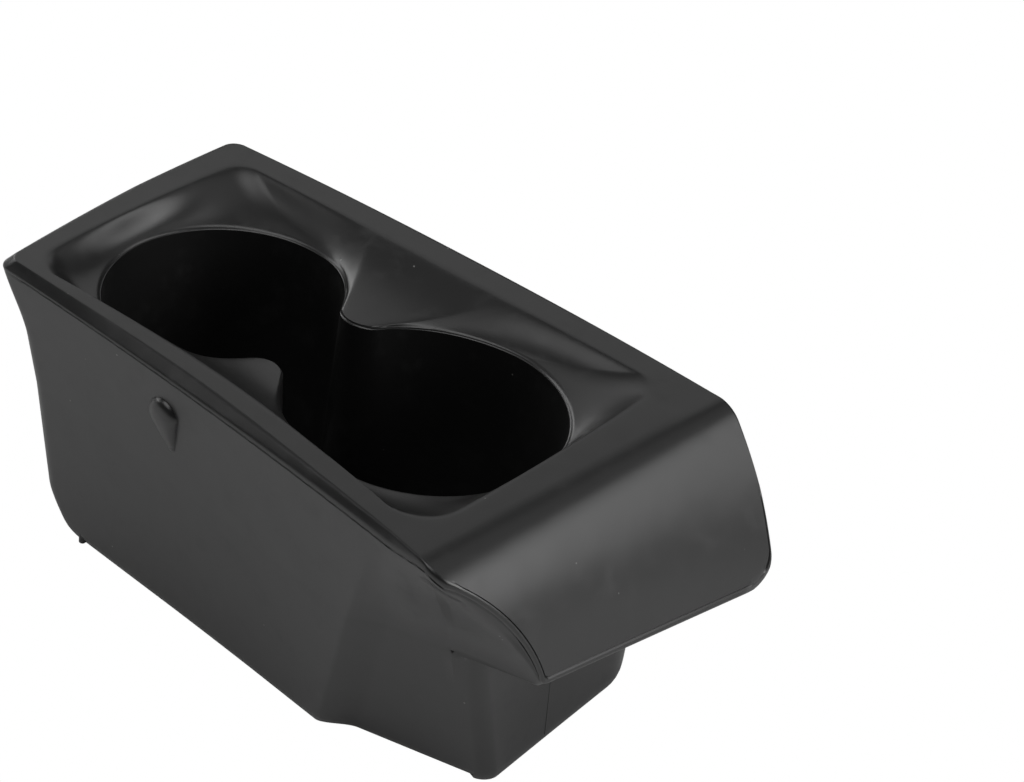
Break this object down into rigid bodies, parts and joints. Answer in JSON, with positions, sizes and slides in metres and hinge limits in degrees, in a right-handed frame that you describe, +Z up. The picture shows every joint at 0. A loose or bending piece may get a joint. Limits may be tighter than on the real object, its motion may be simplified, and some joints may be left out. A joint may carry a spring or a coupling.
{
  "type": "car cup holder",
  "caption": "Moulded black car cup holder with two joined tapered wells in a dished tray, a flange round the top and an apron rolled over one end.",
  "frame": {"origin": "on the flat base, midway between the axes of the two wells", "axes": "+Z up out of the wells, +X along the row of wells towards the rolled apron, +Y away from the side with the boss"},
  "size_m": [0.2309, 0.1273, 0.0995],
  "materials": {
    "moulding": "satin black flexible moulding"
  },
  "bodies": {
    "root": {"cup_holder": "moulding"}
  },
  "joints": []
}
